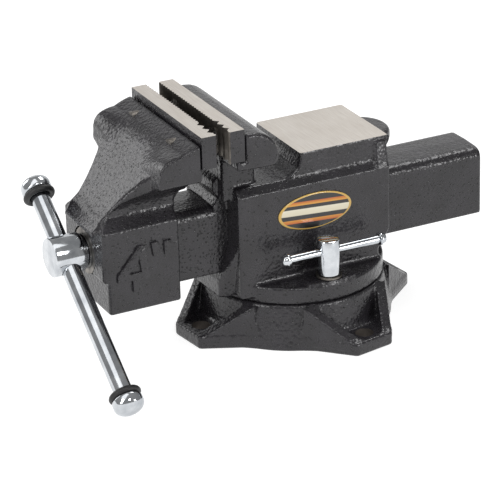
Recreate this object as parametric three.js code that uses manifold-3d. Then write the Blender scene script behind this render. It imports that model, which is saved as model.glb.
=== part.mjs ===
// Bench vise on a swivel base, millimetres, +Z up.
// The origin is on the swivel axis at the bottom of the base. +X points away from the screw handle.
import * as THREE from 'three';
import { mergeVertices } from 'three/addons/utils/BufferGeometryUtils.js';
import { ConvexGeometry } from 'three/addons/geometries/ConvexGeometry.js';
import Module from 'manifold-3d';

const wasm = await Module();
wasm.setup();

// ---------- driving dimensions ----------
const gap = 0.3; // between pieces that touch
const slideClearance = 0.4; // between the slide bar and its channel
const jawWidth = 101.6; // 4 inch jaws
const jawTop = 155;
const jawOpening = 8.2; // as stored, jaws nearly shut
const jawFaceX = -67.5; // working face of the fixed jaw

const plateThickness = 10.4;
const plateHeight = 21;
const plateProud = 4.5; // plate stands above its casting
const plateScrewY = 27;
const plateScrewRadius = 4;
const plateScrewLength = 22;
const plateHeadRadius = 6.5;
const plateHeadDepth = 5;

const barHalfWidth = 20;
const barBottom = 48;
const barSideTop = 86;
const barCrown = 93.8;
const barWall = 6;
const barLength = 205.7; // behind the moving jaw's face

const bodyHalfWidth = barHalfWidth + 16;
const bodyFront = 12; // these four are behind the fixed jaw's face
const bodyRear = 120;
const neckRear = 34.5;
const footFront = 4;
const bodyShoulder = 103;
const shoulderTop = 108; // where the sloping shoulder meets the foot of the anvil
const footHalfWidth = 19;
const footKnee = 70; // height where the foot starts to step forward
const neckHalfWidth = 30;
const castingBottom = 126.3; // underside of both jaw wings

const slotRadius = bodyHalfWidth + 14; // circle on which the lock studs run, clear of the body's sides
const flangeRadius = slotRadius + 8.5;
const flangeThickness = 11.5;
const bossRadius = 17;
const bossRise = 2;

const baseTopRadius = slotRadius + 9;
const baseRadius = baseTopRadius + 5; // at the bench
const baseHeight = 29.7;
const baseFloor = 12;
const pivotRadius = 12;
const slotNeckHalf = 5.7;
const slotHalf = 8.6;
const slotRoof = 21; // underside of the lips that the clamp nuts pull on
const baseTurn = -36; // degrees, base casting against the jaws as stored
const lugAngle = 43; // degrees either side of the base's long axis
const lugHoleCircle = baseRadius + 8;
const lugReach = lugHoleCircle + 10.7;
const lugTipHalf = 14.2;
const lugFlare = 33; // degrees
const lugThickness = 9;
const lugHoleRadius = 6;
const gussetThickness = 6.5;
const gussetReach = lugReach - 3.7;

const anvilFront = 58.7;
const anvilLength = 62.8;
const anvilHalfWidth = bodyHalfWidth - 5;
const anvilTop = 122.3;
const anvilChamfer = 1.2;
const anvilBottom = 104; // inside the shoulder

const pipeHalfWidth = 20;
const pipeBottom = 90;
const throatTop = 112.5; // underside of the moving jaw's overhang above the bar

const headFront = 69.8; // front face of the moving casting, ahead of the moving jaw's face
const bossRear = 17.8;
const bossHalfWidth = 29;
const bossBottom = 40;
const bossSideTop = 95;
const bossTop = 103;
const bossChamfer = 8;
const bossWall = 20;
const wingFront = 39;
const wingTopRound = 22.5;
const headSlope = 1.11; // fall of the head's front, from the wings to the boss

const screwHeight = 74.5;
const screwRadius = 9;
const screwEnd = 158; // behind the moving jaw's face
const screwHeadRadius = screwRadius + 3.6;
const screwHeadLength = 20.3;
const screwHeadStandoff = 3.2; // head's back face ahead of the casting
const collarRadius = screwRadius + 6;
const collarThickness = 3.3;
const recessRadius = collarRadius + 1;
const recessDepth = 4;
const springLength = 17;
const springWire = 1;
const springRadius = screwRadius + 2.8;
const washerThickness = 2;

const nutFront = 36; // behind the fixed jaw's face
const nutLength = 30;
const nutRadius = screwRadius + 3.6;
const nutBoltRadius = 4;

const handleRadius = 6;
const handleAngle = 36; // degrees below level, towards -Y
const handleUpper = 52.5; // from the screw axis to the middle of the upper knob
const handleLower = 110.5;
const knobRadius = 9.8;
const knobLength = 10;
const ringRadius = 1.8;

const studRadius = 7.1;
const studTop = 69.7;
const studThreadRadius = 5;
const lockBarRadius = 2.7;
const lockBarHeight = 61;
const lockBarLength = 70;
const lockBarShift = 4;
const lockCapRadius = 4.2;
const lockCapLength = 5;
const lockWasherRadius = 8.4;
const lockWasherThickness = 1.6;
const clampNutHalf = 7.8;
const clampNutHeight = 7.6;

const badgeLength = 52;
const badgeHeight = 24;
const badgeThickness = 0.8;
const badgeMiddle = [65.5, 84.2]; // behind the fixed jaw's face, and height

const roundSides = 28;
const smallSides = 16;
const wideSides = 48;

// ---------- values worked out from them ----------
const movingFaceX = jawFaceX - jawOpening;
const castingTop = jawTop - plateProud;
const plateBottom = jawTop - plateHeight;
const jawWaist = plateBottom; // where the castings behind the plates turn under
const plateScrewZ = plateBottom + plateHeight / 2;
const flangeBottom = baseHeight + gap;
const flangeTop = flangeBottom + flangeThickness;
const studSeat = flangeTop + bossRise;
const channelFloor = barBottom - slideClearance;
const handleStretch = screwHeadStandoff + screwHeadLength / 2;
const degrees = Math.PI / 180;

// ---------- helpers ----------
const toY = new THREE.Matrix4().makeRotationX(Math.PI / 2);
const toX = new THREE.Matrix4().makeBasis(
  new THREE.Vector3(0, 1, 0), new THREE.Vector3(0, 0, 1), new THREE.Vector3(1, 0, 0));

function outline(points) {
  return new THREE.Shape(points.map(([a, b]) => new THREE.Vector2(a, b)));
}

function extrude(shape, depth) {
  return new THREE.ExtrudeGeometry(shape, { depth, bevelEnabled: false, curveSegments: 10 });
}

// a shape drawn in X and Z, run across Y to both sides of the middle
function acrossY(shape, halfWidth) {
  return extrude(shape, 2 * halfWidth).applyMatrix4(toY).translate(0, halfWidth, 0);
}

// a shape drawn in Y and Z, run along X
function alongX(shape, x0, x1) {
  return extrude(shape, x1 - x0).applyMatrix4(toX).translate(x0, 0, 0);
}

function alongZ(shape, z0, z1) {
  return extrude(shape, z1 - z0).translate(0, 0, z0);
}

// [radius, distance] pairs turned about an axis, distances rising in the axis direction
function turned(pairs, axis, sides = roundSides) {
  const profile = pairs.map(([radius, along]) => new THREE.Vector2(radius, along));
  const geometry = new THREE.LatheGeometry(profile, sides);
  if (axis === 'z') geometry.rotateX(Math.PI / 2);
  if (axis === 'x') geometry.rotateZ(-Math.PI / 2);
  return geometry;
}

function rod(radius, from, to, axis, sides = roundSides) {
  return turned([[0, from], [radius, from], [radius, to], [0, to]], axis, sides);
}

function solid(geometry) {
  const plain = geometry.clone();
  plain.deleteAttribute('normal');
  plain.deleteAttribute('uv');
  const merged = mergeVertices(plain, 1e-4);
  const triVerts = Uint32Array.from(merged.index.array);
  const vertProperties = Float32Array.from(merged.attributes.position.array);
  return new wasm.Manifold(new wasm.Mesh({ numProp: 3, vertProperties, triVerts }));
}

function hull(points) {
  return solid(new ConvexGeometry(points.map((point) => new THREE.Vector3(...point))));
}

function join(...pieces) {
  return pieces.reduce((whole, piece) => whole.add(piece));
}

function cut(whole, ...pieces) {
  return pieces.reduce((rest, piece) => rest.subtract(piece), whole);
}

function geometryOf(manifold) {
  const { vertProperties, triVerts } = manifold.getMesh();
  const geometry = new THREE.BufferGeometry();
  geometry.setAttribute('position', new THREE.BufferAttribute(Float32Array.from(vertProperties), 3));
  geometry.setIndex(new THREE.BufferAttribute(Uint32Array.from(triVerts), 1));
  geometry.computeVertexNormals();
  return geometry;
}

function material(color, roughness, metalness) {
  return new THREE.MeshStandardMaterial({ color, roughness, metalness });
}

function piece(name, shape, look, parent) {
  const geometry = shape.isBufferGeometry ? shape : geometryOf(shape);
  const mesh = new THREE.Mesh(geometry, look);
  mesh.name = name;
  parent.add(mesh);
  return mesh;
}

// ---------- materials ----------
const hammertone = material('#3a393c', 0.45, 0.4);
const groundSteel = material('#b9b2aa', 0.35, 0.9);
const chromeSteel = material('#dcdfe4', 0.08, 1);
const plainSteel = material('#6a6763', 0.45, 0.9);
const blackRubber = material('#141414', 0.7, 0);
const castIron = material('#4a4744', 0.6, 0.6);
const badgeLook = material('#c98a1e', 0.4, 0);

// ---------- groups ----------
const vise = new THREE.Group();
const fixedGroup = new THREE.Group(); // X = 0 on the fixed jaw's face
const movingGroup = new THREE.Group(); // X = 0 on the moving jaw's face
const screwGroup = new THREE.Group(); // X = 0 on the moving jaw's face, on the screw axis
const handleGroup = new THREE.Group(); // Z runs up the handle
fixedGroup.position.x = jawFaceX;
movingGroup.position.x = movingFaceX;
screwGroup.position.set(movingFaceX, 0, screwHeight);
handleGroup.position.set(movingFaceX - headFront - handleStretch, 0, screwHeight);
handleGroup.rotation.x = (handleAngle - 90) * degrees;
vise.add(fixedGroup, movingGroup, screwGroup, handleGroup);

// ---------- swivel base ----------
function baseLug() {
  const flare = Math.tan(lugFlare * degrees);
  const inner = pivotRadius * 2;
  const halfAt = (reach) => lugTipHalf + (lugReach - reach) * flare;
  const pad = solid(alongZ(outline([
    [inner, -halfAt(inner)], [lugReach, -lugTipHalf], [lugReach, lugTipHalf], [inner, halfAt(inner)],
  ]), 0, lugThickness));
  const root = baseTopRadius - gussetThickness;
  const wall = gussetThickness / Math.cos(lugFlare * degrees);
  const gussets = [-1, 1].map((side) => {
    const sill = lugThickness / 2;
    const points = [[root, baseHeight - gap], [gussetReach, lugThickness + gap]].flatMap(([reach, top]) => [
      [reach, side * halfAt(reach), sill], [reach, side * (halfAt(reach) - wall), sill],
      [reach, side * halfAt(reach), top], [reach, side * (halfAt(reach) - wall), top],
    ]);
    return hull(points);
  });
  const hole = solid(rod(lugHoleRadius, -1, lugThickness + 1, 'z', smallSides))
    .translate([lugHoleCircle, 0, 0]);
  return cut(join(pad, ...gussets), hole);
}

function swivelBase() {
  const neckIn = slotRadius - slotNeckHalf;
  const neckOut = slotRadius + slotNeckHalf;
  const drum = solid(turned([
    [0, 0], [baseRadius, 0], [baseRadius - 1, lugThickness], [baseTopRadius, baseHeight],
    [neckOut, baseHeight], [neckOut, slotRoof], [slotRadius + slotHalf, slotRoof],
    [slotRadius + slotHalf, baseFloor], [slotRadius - slotHalf, baseFloor],
    [slotRadius - slotHalf, slotRoof], [neckIn, slotRoof], [neckIn, baseHeight],
    [pivotRadius + gap, baseHeight], [pivotRadius + gap, baseFloor], [0, baseFloor],
  ], 'z', wideSides));
  const slotSpace = solid(turned([
    [neckIn, baseHeight + 1], [neckIn, slotRoof], [slotRadius - slotHalf, slotRoof],
    [slotRadius - slotHalf, baseFloor], [slotRadius + slotHalf, baseFloor],
    [slotRadius + slotHalf, slotRoof], [neckOut, slotRoof], [neckOut, baseHeight + 1],
    [neckIn, baseHeight + 1],
  ], 'z', wideSides));
  const lugs = [lugAngle, 180 - lugAngle, 180 + lugAngle, -lugAngle]
    .map((angle) => baseLug().rotate([0, 0, angle]));
  return cut(join(drum, ...lugs), slotSpace).rotate([0, 0, baseTurn]);
}
piece('swivel_base', swivelBase(), hammertone, vise);

// ---------- slide bar section, shared by the bar, its hollow and its channel ----------
// grow widens the section on its sides and top, and bottom is its lower edge
function barSection(grow, bottom) {
  const half = barHalfWidth + grow;
  const section = new THREE.Shape();
  section.moveTo(-half, bottom);
  section.lineTo(half, bottom);
  section.lineTo(half, barSideTop + grow);
  section.quadraticCurveTo(half, barCrown + grow - 1, half * 0.65, barCrown + grow - 0.5);
  section.lineTo(0, barCrown + grow);
  section.lineTo(-half * 0.65, barCrown + grow - 0.5);
  section.quadraticCurveTo(-half, barCrown + grow - 1, -half, barSideTop + grow);
  return section;
}

// pipe jaw: two V notches under each jaw, drawn for a jaw that faces -X, distances behind its face
function pipeOutline(back) {
  return outline([
    [0.4, castingBottom + 6], [8.5, 116], [2.5, 110], [2.5, 104], [6, 99], [2.5, 94],
    [2.5, pipeBottom], [back, pipeBottom], [back, castingBottom + 6],
  ]);
}

// screws, and the blind holes for them, that hold a jaw plate: X runs into the casting
function plateScrewHole(radius) {
  return rod(radius, 0, plateScrewLength + gap, 'x', smallSides);
}

function plateWithHoles(name, direction, parent) {
  const blank = new THREE.BoxGeometry(plateThickness, jawWidth, plateHeight)
    .translate(direction * plateThickness / 2, 0, plateBottom + plateHeight / 2);
  const holes = [-plateScrewY, plateScrewY].flatMap((y) => [
    solid(rod(plateScrewRadius + gap, -1, plateThickness + 1, 'x', smallSides)),
    solid(rod(plateHeadRadius + gap, -1, plateHeadDepth + gap, 'x', smallSides)),
  ].map((hole) => (direction < 0 ? hole.mirror([1, 0, 0]) : hole).translate([0, y, plateScrewZ])));
  piece(name, cut(solid(blank), ...holes), groundSteel, parent);
}

function plateScrew(name, direction, y, parent) {
  const socketRadius = plateHeadRadius * 0.5;
  const profile = [
    [0, 3], [socketRadius, 3], [socketRadius, 0.4], [plateHeadRadius, 0.4],
    [plateHeadRadius, plateHeadDepth], [plateScrewRadius, plateHeadDepth],
    [plateScrewRadius, plateScrewLength], [0, plateScrewLength],
  ];
  const mesh = piece(name, turned(profile, 'x', smallSides), plainSteel, parent);
  mesh.position.set(0, y, plateScrewZ);
  if (direction < 0) mesh.rotation.z = Math.PI;
}

// ---------- fixed body: jaw, anvil, channel, flange and pivot in one casting ----------
function fixedBody() {
  const centre = -jawFaceX; // swivel axis, behind the jaw's face
  const seat = plateThickness + gap;
  const jawShape = new THREE.Shape();
  jawShape.moveTo(seat - 5, castingBottom + 2.5);
  jawShape.lineTo(seat - 5, plateBottom - gap);
  jawShape.lineTo(seat, plateBottom - gap);
  jawShape.lineTo(seat, castingTop);
  jawShape.lineTo(seat + 4, castingTop);
  jawShape.quadraticCurveTo(neckRear, castingTop - 4, neckRear, jawWaist);
  jawShape.quadraticCurveTo(neckRear, castingBottom, neckRear - 7.5, castingBottom - gap);
  const jaw = solid(acrossY(jawShape, jawWidth / 2));

  const neckShape = new THREE.Shape();
  neckShape.moveTo(seat - 5, castingBottom + 4);
  neckShape.lineTo(bodyFront, bodyShoulder - 4);
  neckShape.lineTo(anvilFront + 2, bodyShoulder - 4);
  neckShape.lineTo(anvilFront + 2, shoulderTop);
  neckShape.lineTo(anvilFront - 6, shoulderTop - 1);
  neckShape.quadraticCurveTo(neckRear + 2, shoulderTop + 1, neckRear - 4, castingBottom + 2);
  neckShape.lineTo(neckRear - 6, jawWaist);
  neckShape.lineTo(seat + 1, jawWaist);
  const neck = solid(acrossY(neckShape, neckHalfWidth));

  const side = solid(acrossY(outline([
    [bodyFront, flangeBottom + 6], [bodyRear - 8, flangeBottom + 6], [bodyRear - 8, 46],
    [bodyRear, 58], [bodyRear, bodyShoulder], [bodyFront, bodyShoulder],
  ]), bodyHalfWidth));
  const shoulder = hull([bodyFront, bodyRear].flatMap((x) => [-1, 1].flatMap((way) => [
    [x, way * bodyHalfWidth, bodyShoulder - 1], [x, way * bodyHalfWidth, bodyShoulder],
    [x, way * (anvilHalfWidth + 0.5), shoulderTop],
  ])));
  const anvilRear = anvilFront + anvilLength;
  const anvilEdge = anvilTop - 3;
  const anvil = hull([anvilFront, anvilRear].flatMap((x) => [-1, 1].flatMap((way) => [
    [x, way * anvilHalfWidth, anvilBottom], [x, way * anvilHalfWidth, anvilEdge],
    [x, way * (anvilHalfWidth - anvilChamfer), anvilTop],
  ])));
  const foot = hull([-1, 1].flatMap((way) => [
    [bodyFront + 20, way * bodyHalfWidth, flangeBottom], [bodyFront + 14, way * bodyHalfWidth, flangeTop],
    [bodyFront, way * (bodyHalfWidth - 1), footKnee], [bodyFront + 20, way * bodyHalfWidth, footKnee],
    [footFront, way * footHalfWidth, flangeBottom], [footFront, way * footHalfWidth, flangeTop],
  ]));
  const pipe = solid(acrossY(pipeOutline(bodyFront + 4), pipeHalfWidth));

  const disc = solid(rod(flangeRadius, flangeBottom, flangeTop, 'z', wideSides));
  const bosses = [-1, 1].map((way) => solid(rod(bossRadius, flangeBottom, studSeat, 'z'))
    .translate([0, way * slotRadius, 0])
    .intersect(solid(rod(flangeRadius - 0.5, 0, jawTop, 'z', wideSides))));
  const pivot = solid(rod(pivotRadius, baseFloor + gap, flangeBottom + 2, 'z'));
  const swivelled = join(disc, ...bosses, pivot).translate([centre, 0, 0]);

  const channel = solid(alongX(barSection(slideClearance, channelFloor), -20, bodyRear + 10));
  const studHoles = [-1, 1].map((way) => solid(rod(studThreadRadius + gap, 0, studSeat + 1, 'z', smallSides))
    .translate([centre, way * slotRadius, 0]));
  const plateHoles = [-plateScrewY, plateScrewY].map((y) => solid(plateScrewHole(plateScrewRadius + gap))
    .translate([0, y, plateScrewZ]));
  const nutMiddle = nutFront + nutLength / 2;
  const boltHole = join(
    solid(rod(nutBoltRadius + gap, 0, barBottom + 1, 'z', smallSides)),
    solid(rod(nutBoltRadius * 2 - 0.5, 0, flangeBottom + nutBoltRadius + 2, 'z', smallSides)),
  ).translate([nutMiddle, 0, 0]);
  return cut(join(jaw, neck, side, shoulder, anvil, foot, pipe, swivelled),
    channel, boltHole, ...studHoles, ...plateHoles);
}
piece('fixed_body', fixedBody(), hammertone, fixedGroup);
plateWithHoles('fixed_jaw_plate', 1, fixedGroup);
plateScrew('fixed_plate_screw_near', 1, -plateScrewY, fixedGroup);
plateScrew('fixed_plate_screw_far', 1, plateScrewY, fixedGroup);

// ---------- lead nut, bolted to the channel floor ----------
function leadNut() {
  const nutBottom = channelFloor + gap;
  const block = new THREE.BoxGeometry(nutLength, 2 * nutRadius, screwHeight - nutBottom)
    .translate(nutFront + nutLength / 2, 0, (screwHeight + nutBottom) / 2);
  const barrel = solid(rod(nutRadius, nutFront, nutFront + nutLength, 'x')).translate([0, 0, screwHeight]);
  const thread = solid(rod(screwRadius + slideClearance, nutFront - 1, nutFront + nutLength + 1, 'x'))
    .translate([0, 0, screwHeight]);
  const tapped = solid(rod(nutBoltRadius + gap, channelFloor - 1, screwHeight - screwRadius - 2, 'z', smallSides))
    .translate([nutFront + nutLength / 2, 0, 0]);
  return cut(join(solid(block), barrel), thread, tapped);
}
piece('lead_nut', leadNut(), castIron, fixedGroup);

const nutBoltTop = screwHeight - screwRadius - 2 - gap;
const nutBoltSeat = flangeBottom + nutBoltRadius + 2 - gap;
const nutBolt = piece('lead_nut_bolt', turned([
  [0, flangeBottom + 0.8], [nutBoltRadius * 1.7, flangeBottom + 0.8], [nutBoltRadius * 1.7, nutBoltSeat],
  [nutBoltRadius, nutBoltSeat], [nutBoltRadius, nutBoltTop], [0, nutBoltTop],
], 'z', smallSides), plainSteel, fixedGroup);
nutBolt.position.x = nutFront + nutLength / 2;

// ---------- badge on the near side of the body ----------
const badgeShape = new THREE.Shape();
badgeShape.absellipse(0, 0, badgeLength / 2, badgeHeight / 2, 0, 2 * Math.PI);
const badge = piece('oval_badge', extrude(badgeShape, badgeThickness).applyMatrix4(toY), badgeLook, fixedGroup);
badge.position.set(badgeMiddle[0], -bodyHalfWidth - gap, badgeMiddle[1]);

// ---------- swivel locks: stud, sliding cross bar, washer and clamp nut on each side ----------
function lockStud() {
  const shank = turned([
    [0, baseFloor + 2 * gap], [studThreadRadius, baseFloor + 2 * gap],
    [studThreadRadius, studSeat + lockWasherThickness + 2 * gap],
    [studRadius, studSeat + lockWasherThickness + 2 * gap], [studRadius, studTop - 1],
    [studRadius - 1, studTop], [0, studTop],
  ], 'z', 24);
  const crossHole = solid(rod(lockBarRadius + gap, -studRadius - 1, studRadius + 1, 'x', smallSides))
    .translate([0, 0, lockBarHeight]);
  return cut(solid(shank), crossHole);
}

function washer(inner, outer, from, to, axis, sides = smallSides) {
  return turned([[inner, from], [outer, from], [outer, to], [inner, to], [inner, from]], axis, sides);
}

const capDepth = lockCapLength * 0.6;
for (const [side, way] of [['near', -1], ['far', 1]]) {
  const lock = new THREE.Group();
  lock.position.y = way * slotRadius;
  vise.add(lock);
  piece(`${side}_lock_stud`, lockStud(), chromeSteel, lock);
  piece(`${side}_lock_washer`, washer(studThreadRadius + gap, lockWasherRadius,
    studSeat + gap, studSeat + gap + lockWasherThickness, 'z', 24), plainSteel, lock);
  const nutBlank = new THREE.BoxGeometry(2 * clampNutHalf, 2 * clampNutHalf, clampNutHeight)
    .translate(0, 0, slotRoof - gap - clampNutHeight / 2);
  const nutThread = solid(rod(studThreadRadius + gap, 0, slotRoof + 1, 'z', 24));
  piece(`${side}_clamp_nut`, cut(solid(nutBlank), nutThread), castIron, lock);
  const half = lockBarLength / 2;
  const bar = rod(lockBarRadius, lockBarShift - half, lockBarShift + half, 'x', smallSides);
  piece(`${side}_lock_bar`, bar, chromeSteel, lock).position.z = lockBarHeight;
  for (const [end, sign] of [['front', -1], ['rear', 1]]) {
    const mouth = half - capDepth;
    const top = mouth + lockCapLength;
    const cap = piece(`${side}_lock_bar_${end}_cap`, turned([
      [lockBarRadius + gap, mouth], [lockCapRadius, mouth], [lockCapRadius, top - 1],
      [lockCapRadius - 1, top], [0, top], [0, half + gap], [lockBarRadius + gap, half + gap],
      [lockBarRadius + gap, mouth],
    ], 'x', smallSides), chromeSteel, lock);
    cap.position.set(lockBarShift, 0, lockBarHeight);
    if (sign < 0) cap.rotation.z = Math.PI;
  }
}

// ---------- moving jaw: head, front boss and slide bar in one casting ----------
// height of the moving head's straight front slope
function slopeAt(x) {
  return castingTop + (x + wingTopRound) * headSlope;
}

function movingJaw() {
  const seat = plateThickness + gap;
  const wingShape = new THREE.Shape();
  wingShape.moveTo(-seat, plateBottom - gap);
  wingShape.lineTo(-seat, castingTop);
  wingShape.lineTo(-wingTopRound, castingTop);
  wingShape.quadraticCurveTo(-wingFront, castingTop - 1.5, -wingFront, jawWaist);
  wingShape.lineTo(-wingFront, castingBottom + 3.2);
  wingShape.lineTo(-wingFront + 3, castingBottom);
  wingShape.lineTo(-seat + 2.4, castingBottom);
  wingShape.lineTo(-seat + 2.4, plateBottom - gap);
  const wings = solid(acrossY(wingShape, jawWidth / 2));

  const bossShape = outline([
    [-bossHalfWidth, bossBottom], [bossHalfWidth, bossBottom], [bossHalfWidth, bossSideTop],
    [bossHalfWidth - bossChamfer, bossTop], [-bossHalfWidth + bossChamfer, bossTop],
    [-bossHalfWidth, bossSideTop],
  ]);
  const boss = solid(alongX(bossShape, -headFront, -bossRear));
  // the head narrows in two steps from the wings to the top of the boss
  const head = join(...[
    [[-wingFront + 4, 38, slopeAt(-wingFront)], [-48, 29, slopeAt(-48)]],
    [[-48, 29, slopeAt(-48)], [-headFront + 0.5, 21.5, slopeAt(-headFront + 0.5)]],
  ].map((steps) => hull(steps.flatMap(([x, half, top]) => [-1, 1].flatMap((way) => [
    [x, way * half, top], [x, way * half, top - 6], [-seat, way * 22, castingTop - 1], [-seat, way * 20, bossTop - 2],
  ])))));
  const slopeCut = solid(acrossY(outline([
    [-wingFront - gap, slopeAt(-wingFront)], [-headFront - 1, slopeAt(-headFront - 1)],
    [-headFront - 1, jawTop], [-wingFront - gap, jawTop],
  ]), jawWidth));
  const neck = solid(acrossY(outline([
    [-headFront + 6, 90], [-bossRear, 90], [-bossRear + 0.5, throatTop - 6], [-bossRear + 3.8, throatTop],
    [-seat + 2.4, throatTop + 6],
    [-seat + 2.4, jawWaist - 3], [-wingFront + 1, jawWaist - 5], [-46, 118],
  ]), pipeHalfWidth + 1));
  const pipe = solid(acrossY(outline([
    [-0.4, castingBottom + 6.3], [-8.5, 116], [-5, throatTop], [-bossRear + 1.8, throatTop],
    [-bossRear + 1.8, castingBottom + 6],
  ]), pipeHalfWidth));

  const bar = solid(alongX(barSection(0, barBottom), -bossRear - 6, barLength));
  const hollow = solid(alongX(barSection(-barWall, 0), -headFront + bossWall, barLength + 1));
  const bore = solid(rod(screwRadius + slideClearance, -headFront - 1, -headFront + bossWall + 1, 'x'))
    .translate([0, 0, screwHeight]);
  const recess = solid(rod(recessRadius, -headFront - 1, -headFront + recessDepth, 'x'))
    .translate([0, 0, screwHeight]);
  const plateHoles = [-plateScrewY, plateScrewY].map((y) => solid(plateScrewHole(plateScrewRadius + gap))
    .mirror([1, 0, 0]).translate([0, y, plateScrewZ]));
  return cut(join(wings, head, boss, neck, pipe, bar), slopeCut, hollow, bore, recess, ...plateHoles);
}
piece('moving_jaw', movingJaw(), hammertone, movingGroup);
plateWithHoles('moving_jaw_plate', -1, movingGroup);
plateScrew('moving_plate_screw_near', -1, -plateScrewY, movingGroup);
plateScrew('moving_plate_screw_far', -1, plateScrewY, movingGroup);

// ---------- main screw and what holds it in the moving jaw ----------
const headBack = -headFront - screwHeadStandoff;
const headTip = headBack - screwHeadLength;
const collarSeat = -headFront + recessDepth - gap;
const collarTop = collarSeat - collarThickness;
const wallBack = -headFront + bossWall;
const springStart = wallBack + 2 * gap + washerThickness;
const springEnd = springStart + springLength;
const pinX = springEnd + washerThickness + 3 * gap + 2.2;

const shank = turned([
  [0, headTip], [screwHeadRadius - 0.8, headTip], [screwHeadRadius, headTip + 0.8],
  [screwHeadRadius, headBack], [screwHeadRadius - 1.2, headBack], [screwHeadRadius - 1.2, collarTop - gap],
  [screwRadius, collarTop - gap], [screwRadius, screwEnd - 1.5], [screwRadius - 1.5, screwEnd],
  [0, screwEnd],
], 'x');
const crossBore = solid(rod(handleRadius + gap, -screwHeadRadius - 2, screwHeadRadius + 2, 'z', 24))
  .rotate([handleAngle - 90, 0, 0]).translate([-headFront - handleStretch, 0, 0]);
const pinRadius = 2;
const pinBore = solid(rod(pinRadius + gap, -screwRadius - 2, screwRadius + 2, 'y', smallSides))
  .translate([pinX, 0, 0]);
piece('main_screw', cut(solid(shank), crossBore, pinBore), chromeSteel, screwGroup);
piece('thrust_collar', washer(screwRadius + gap, collarRadius, collarTop, collarSeat, 'x', roundSides),
  plainSteel, screwGroup);
piece('spring_washer', washer(screwRadius + gap, springRadius + 0.4, wallBack + gap,
  wallBack + gap + washerThickness, 'x', roundSides), plainSteel, screwGroup);
piece('pin_washer', washer(screwRadius + gap, springRadius + 0.4, springEnd + gap,
  springEnd + gap + washerThickness, 'x', roundSides), plainSteel, screwGroup);

class Helix extends THREE.Curve {
  constructor(radius, start, end, turns) {
    super();
    Object.assign(this, { radius, start, end, turns });
  }

  getPoint(t, target = new THREE.Vector3()) {
    const angle = t * this.turns * 2 * Math.PI;
    return target.set(this.start + t * (this.end - this.start),
      this.radius * Math.cos(angle), this.radius * Math.sin(angle));
  }
}
const wireSection = new THREE.Shape();
wireSection.absarc(0, 0, springWire, 0, 2 * Math.PI);
const coil = new Helix(springRadius - springWire, springStart + springWire + gap, springEnd - springWire - gap, 4.5);
const spring = new THREE.ExtrudeGeometry(wireSection, { steps: 60, extrudePath: coil, curveSegments: 3 });
piece('return_spring', spring, plainSteel, screwGroup);
const pinHalf = springRadius + 1;
piece('split_pin', rod(pinRadius, -pinHalf, pinHalf, 'y', smallSides), plainSteel, screwGroup)
  .position.set(pinX, 0, 0);

// ---------- handle ----------
const rodOverlap = knobLength / 2 - 2; // how far the bar reaches past each knob's middle
piece('handle_bar', rod(handleRadius, -handleLower - rodOverlap, handleUpper + rodOverlap, 'z', 24),
  chromeSteel, handleGroup);
for (const [end, middle, sign] of [['upper', handleUpper, 1], ['lower', -handleLower, -1]]) {
  const mouth = -knobLength / 2;
  const bottom = rodOverlap + gap;
  const profile = [
    [handleRadius + gap, mouth], [knobRadius - 1, mouth], [knobRadius, mouth + 1.5],
    [knobRadius, mouth + 5], [knobRadius - 1.2, mouth + 8], [knobRadius - 3.4, -mouth],
    [0, -mouth], [0, bottom], [handleRadius + gap, bottom], [handleRadius + gap, mouth],
  ];
  const knob = piece(`handle_${end}_knob`, turned(profile, 'z', 28), chromeSteel, handleGroup);
  knob.position.z = middle;
  if (sign < 0) knob.rotation.x = Math.PI;
  const ringMiddle = handleRadius + 2 * gap + ringRadius;
  const ring = new THREE.TorusGeometry(ringMiddle, ringRadius, 8, 20);
  piece(`handle_${end}_ring`, ring, blackRubber, handleGroup).position.z =
    middle - sign * (knobLength / 2 + ringRadius + gap);
}

export default vise;
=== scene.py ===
import math

import bmesh
import bpy
import numpy as np
import openvdb
from mathutils import Matrix, Vector


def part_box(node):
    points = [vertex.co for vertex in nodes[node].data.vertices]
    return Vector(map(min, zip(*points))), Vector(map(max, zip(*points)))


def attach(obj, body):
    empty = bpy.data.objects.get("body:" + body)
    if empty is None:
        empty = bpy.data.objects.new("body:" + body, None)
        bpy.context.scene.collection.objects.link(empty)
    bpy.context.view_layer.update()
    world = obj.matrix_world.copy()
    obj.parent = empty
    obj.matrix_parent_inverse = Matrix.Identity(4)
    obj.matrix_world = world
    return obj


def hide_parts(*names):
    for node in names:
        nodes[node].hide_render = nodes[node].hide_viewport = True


mm = 0.001

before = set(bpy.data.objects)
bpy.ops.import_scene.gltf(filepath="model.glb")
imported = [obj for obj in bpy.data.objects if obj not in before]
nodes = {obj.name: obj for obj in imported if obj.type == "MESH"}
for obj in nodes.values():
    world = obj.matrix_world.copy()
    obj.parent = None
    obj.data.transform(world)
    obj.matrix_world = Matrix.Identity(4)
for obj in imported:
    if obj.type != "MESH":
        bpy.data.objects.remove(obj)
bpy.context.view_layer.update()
print("frame loaded,", len(nodes), "nodes")


def ends(node):
    low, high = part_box(node)
    return low / mm, high / mm


# places taken from the frame
fixedPlateLow, fixedPlateHigh = ends("fixed_jaw_plate")
movingPlateLow, movingPlateHigh = ends("moving_jaw_plate")
bodyLow, bodyHigh = ends("fixed_body")
jawLow, jawHigh = ends("moving_jaw")
baseLow, baseHigh = ends("swivel_base")
screwLow, screwHigh = ends("main_screw")
collarLow, collarHigh = ends("thrust_collar")
studLow, studHigh = ends("near_lock_stud")
badgeLow, badgeHigh = ends("oval_badge")
fixedFace = fixedPlateLow.x
movingFace = movingPlateHigh.x
plateBottom = fixedPlateLow.z
jawHalf = fixedPlateHigh.y
screwHeight = (collarLow.z + collarHigh.z) / 2
screwRadius = screwHigh.y - 3.6


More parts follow.
